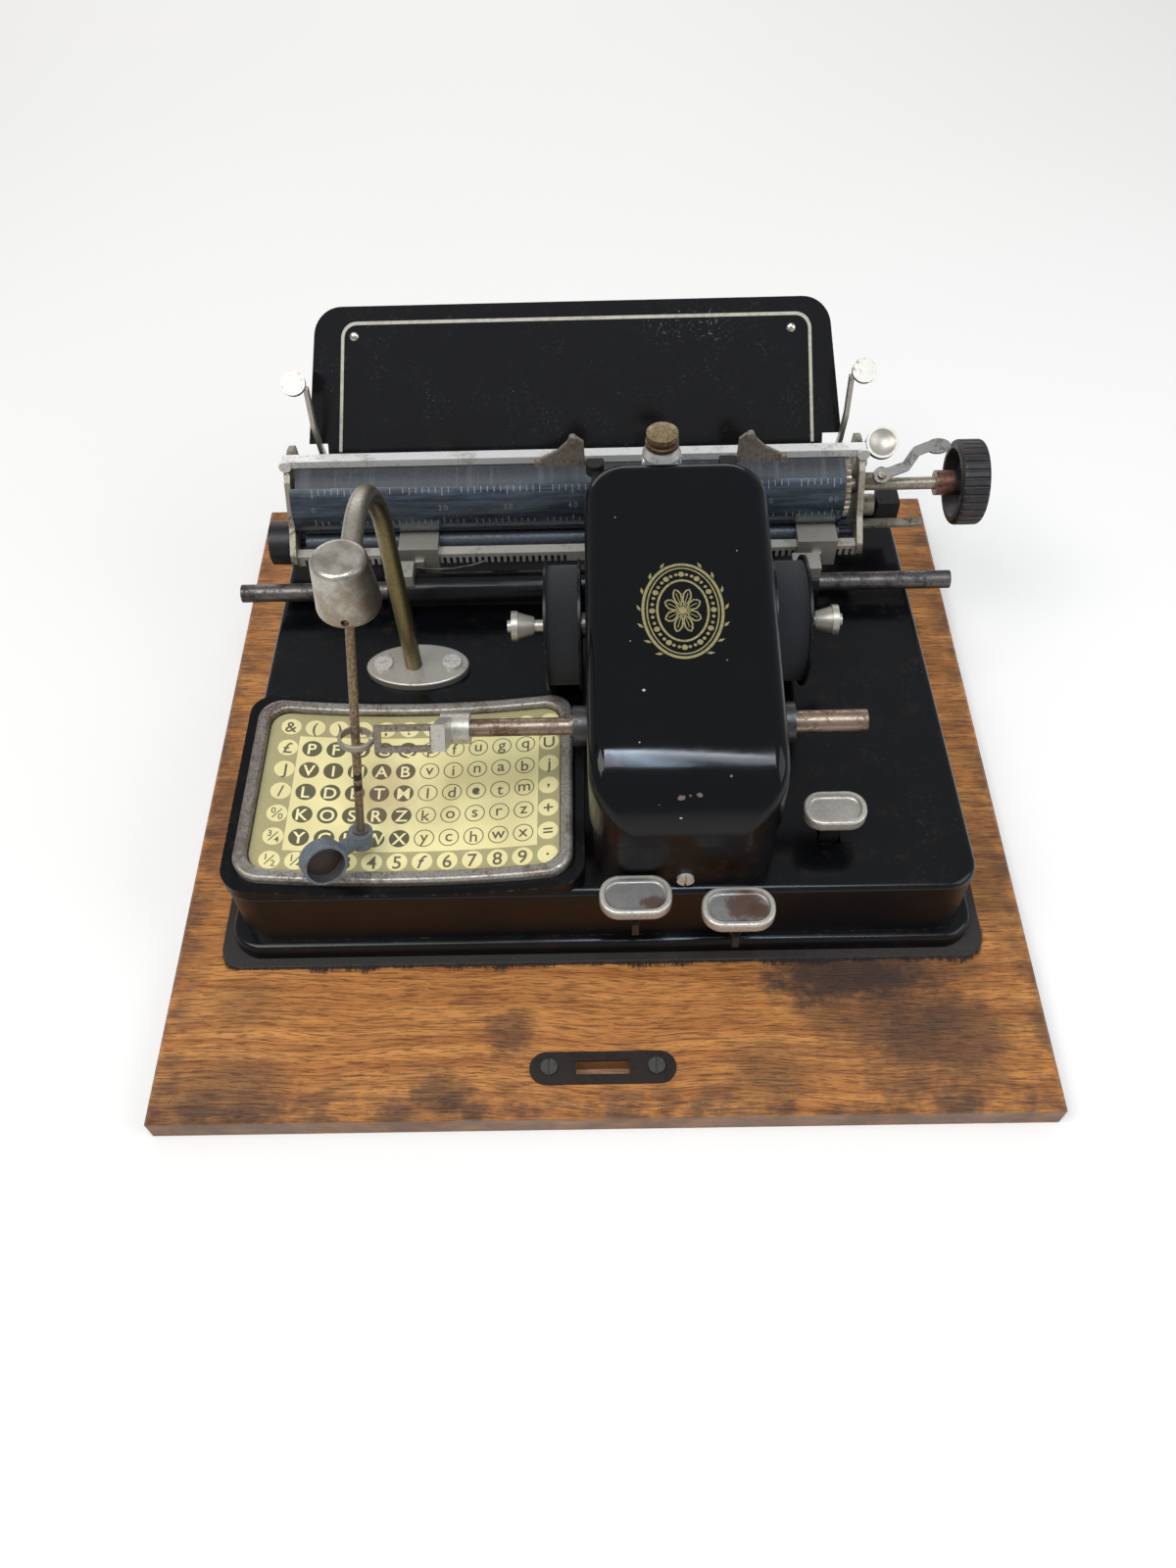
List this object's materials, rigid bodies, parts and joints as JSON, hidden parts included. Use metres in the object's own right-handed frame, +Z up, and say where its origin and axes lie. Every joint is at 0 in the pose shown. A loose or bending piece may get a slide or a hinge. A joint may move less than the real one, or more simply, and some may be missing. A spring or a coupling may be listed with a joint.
{
  "type": "index typewriter",
  "caption": "Index typewriter on a wooden board, with a pointer over a curved character card, a black hood, oval keys and a sliding paper carriage.",
  "frame": {"origin": "middle of the wooden board's underside", "axes": "+X to the user's right, +Y away from the user, +Z up"},
  "size_m": [0.32, 0.3116, 0.175],
  "materials": {
    "oak": "worn satin varnish",
    "felt": "matt",
    "enamel": "gloss black enamel",
    "nickel": "worn nickel plate",
    "steel": "darkened steel",
    "blued": "blued steel",
    "brass": "tarnished brass",
    "dark_brass": "dark bronze patina",
    "card": "printed card",
    "ebonite": "dull ebonite",
    "ribbon": "inked cloth",
    "rubber": "hard rubber",
    "iron": "bare"
  },
  "bodies": {
    "machine_frame": {"baseboard": "oak", "lock_plate": "dark_brass", "slotted_screws": "nickel", "felt_pad": "felt", "base_casting": "enamel", "lower_housing": "enamel", "hood": "enamel", "index_tray": "enamel", "index_frame": "nickel", "index_card": "card", "swan_flange": "nickel", "swan_neck": "brass", "joint_bell": "nickel", "shaft_collars": "nickel", "key_pivot_rod": "steel", "rail_housing": "enamel", "rail_stops": "nickel", "ribbon_guides": "steel", "spool_stubs": "nickel"},
    "spring_drum": {"mainspring_drum": "iron"},
    "gimbal": {"pointer_gimbal": "steel"},
    "pointer": {"pointer_rod": "brass", "pointer_ring": "ebonite"},
    "index_rack": {"index_tube": "nickel"},
    "index_crank": {"index_shaft": "nickel"},
    "eye": {"eye_ring": "nickel"},
    "drive": {"drive_shaft": "steel"},
    "type_carrier": {"type_bracket": "steel"},
    "type_lifter": {"lift_collar": "steel"},
    "spindle": {"type_spindle": "steel"},
    "sleeve": {"type_sleeve": "steel", "type_knob": "brass"},
    "print_key": {"print_lever": "steel", "print_cap": "nickel"},
    "space_key": {"space_lever": "steel", "space_cap": "nickel"},
    "back_key": {"back_lever": "steel", "back_cap": "nickel"},
    "left_reel": {"left_spool": "enamel", "left_ribbon": "ribbon"},
    "right_reel": {"right_spool": "enamel", "right_ribbon": "ribbon"},
    "left_nut": {"left_spool_nut": "nickel"},
    "right_nut": {"right_spool_nut": "nickel"},
    "carriage": {"carriage_plates": "nickel", "carriage_rod": "steel", "carriage_rack": "nickel", "carriage_beam": "iron", "paper_bail": "nickel", "scale_cover": "blued", "back_plate": "enamel"},
    "left_stop": {"margin_stop_left": "nickel"},
    "right_stop": {"margin_stop_right": "nickel"},
    "roll": {"platen": "rubber", "platen_shaft": "steel", "platen_knob": "ebonite"},
    "feed": {"feed_roller": "rubber"},
    "spacing": {"line_space_lever": "nickel"},
    "release": {"release_lever": "nickel"},
    "paper_release": {"paper_levers": "nickel"}
  },
  "joints": [
    {"name": "pointer_sideways", "type": "hinge", "parent": "machine_frame", "child": "gimbal", "pos_m": [-0.0734, -0.0485, 0.1577], "axis": [0, -1, 0], "range_deg": [-17, 31]},
    {"name": "pointer_fore_aft", "type": "hinge", "parent": "gimbal", "child": "pointer", "pos_m": [-0.0734, -0.0485, 0.1577], "axis": [0.9942, 0, -0.1072], "range_deg": [0, 31]},
    {"name": "index_slide", "type": "slide", "parent": "machine_frame", "child": "index_rack", "axis": [1, 0, 0], "range_m": [-0.01544, 0.02814]},
    {"name": "crank_turn", "type": "hinge", "parent": "index_rack", "child": "index_crank", "pos_m": [0, -0.046, 0.091], "axis": [1, 0, 0], "range_deg": [-85.27, 0.5]},
    {"name": "eye_swivel", "type": "hinge", "parent": "index_crank", "child": "eye", "pos_m": [-0.07897, -0.06166, 0.106], "axis": [1, 0, 0], "range_deg": [-0.5, 116.27]},
    {"name": "drive_turn", "type": "hinge", "parent": "machine_frame", "child": "drive", "pos_m": [0.026, 0, 0.0785], "axis": [0, 1, 0], "range_deg": [-98.24, 179.13]},
    {"name": "type_strike", "type": "slide", "parent": "machine_frame", "child": "type_carrier", "axis": [0, 1, 0], "range_m": [0, 0.0032]},
    {"name": "collar_lift", "type": "slide", "parent": "type_carrier", "child": "type_lifter", "axis": [0, 0, 1], "range_m": [-0.01603, 0]},
    {"name": "spindle_turn", "type": "hinge", "parent": "type_carrier", "child": "spindle", "pos_m": [0.026, 0.055, 0], "axis": [0, 0, 1], "range_deg": [-98.24, 179.13]},
    {"name": "sleeve_lift", "type": "slide", "parent": "spindle", "child": "sleeve", "axis": [0, 0, 1], "range_m": [-0.01603, 0]},
    {"name": "print_press", "type": "hinge", "parent": "machine_frame", "child": "print_key", "pos_m": [0, 0, 0.043], "axis": [1, 0, 0], "range_deg": [0, 2.2], "stiffness_Nm_per_rad": 0.8, "springref_deg": -4.58},
    {"name": "space_press", "type": "hinge", "parent": "machine_frame", "child": "space_key", "pos_m": [0, 0, 0.043], "axis": [1, 0, 0], "range_deg": [0, 4.5], "stiffness_Nm_per_rad": 0.6, "springref_deg": -4.58},
    {"name": "back_press", "type": "hinge", "parent": "machine_frame", "child": "back_key", "pos_m": [0, 0, 0.043], "axis": [1, 0, 0], "range_deg": [0, 6], "stiffness_Nm_per_rad": 0.5, "springref_deg": -4.58},
    {"name": "left_reel_turn", "type": "hinge", "parent": "machine_frame", "child": "left_reel", "pos_m": [0, 0.01, 0.0815], "axis": [1, 0, 0], "continuous": true},
    {"name": "right_reel_turn", "type": "hinge", "parent": "machine_frame", "child": "right_reel", "pos_m": [0, 0.01, 0.0815], "axis": [1, 0, 0], "continuous": true},
    {"name": "left_nut_turn", "type": "hinge", "parent": "machine_frame", "child": "left_nut", "pos_m": [0, 0.01, 0.0815], "axis": [1, 0, 0], "continuous": true},
    {"name": "right_nut_turn", "type": "hinge", "parent": "machine_frame", "child": "right_nut", "pos_m": [0, 0.01, 0.0815], "axis": [1, 0, 0], "continuous": true},
    {"name": "carriage_slide", "type": "slide", "parent": "machine_frame", "child": "carriage", "axis": [1, 0, 0], "range_m": [-0.07, 0.084]},
    {"name": "mainspring_turn", "type": "hinge", "parent": "machine_frame", "child": "spring_drum", "pos_m": [-0.095, 0.075, 0], "axis": [0, 0, 1], "range_deg": [-267.48, 320.96]},
    {"name": "left_stop_slide", "type": "slide", "parent": "carriage", "child": "left_stop", "axis": [1, 0, 0], "range_m": [-0.04, 0.05]},
    {"name": "right_stop_slide", "type": "slide", "parent": "carriage", "child": "right_stop", "axis": [1, 0, 0], "range_m": [-0.07, 0.006]},
    {"name": "platen_turn", "type": "hinge", "parent": "carriage", "child": "roll", "pos_m": [0, 0.0815, 0.085], "axis": [1, 0, 0], "continuous": true},
    {"name": "feed_turn", "type": "hinge", "parent": "carriage", "child": "feed", "pos_m": [0, 0.0716, 0.0689], "axis": [1, 0, 0], "continuous": true},
    {"name": "line_space_pull", "type": "hinge", "parent": "carriage", "child": "spacing", "pos_m": [0.116, 0.076, 0.095], "axis": [0, -0.5736, 0.8192], "range_deg": [-15, 0], "stiffness_Nm_per_rad": 0.05, "springref_deg": 5.73},
    {"name": "release_press", "type": "hinge", "parent": "carriage", "child": "release", "pos_m": [0, 0.088, 0.092], "axis": [1, 0, 0], "range_deg": [-12, 0], "stiffness_Nm_per_rad": 0.05, "springref_deg": 5.73},
    {"name": "paper_release_pull", "type": "hinge", "parent": "carriage", "child": "paper_release", "pos_m": [0, 0.0986, 0.088], "axis": [1, 0, 0], "range_deg": [0, 10]}
  ],
  "couplings": [
    {"joint": "index_slide", "follows": "pointer_sideways", "m_per_rad": 0.052},
    {"joint": "crank_turn", "follows": "pointer_fore_aft", "ratio": -2.75},
    {"joint": "eye_swivel", "follows": "pointer_fore_aft", "ratio": 3.75},
    {"joint": "drive_turn", "follows": "pointer_sideways", "ratio": 5.7778},
    {"joint": "type_strike", "follows": "print_press", "m_per_rad": 0.083329},
    {"joint": "collar_lift", "follows": "pointer_fore_aft", "m_per_rad": -0.0296},
    {"joint": "spindle_turn", "follows": "pointer_sideways", "ratio": 5.7778},
    {"joint": "sleeve_lift", "follows": "pointer_fore_aft", "m_per_rad": -0.0296},
    {"joint": "mainspring_turn", "follows": "carriage_slide", "rad_per_m": 66.667},
    {"joint": "feed_turn", "follows": "platen_turn", "ratio": -3.1818}
  ]
}
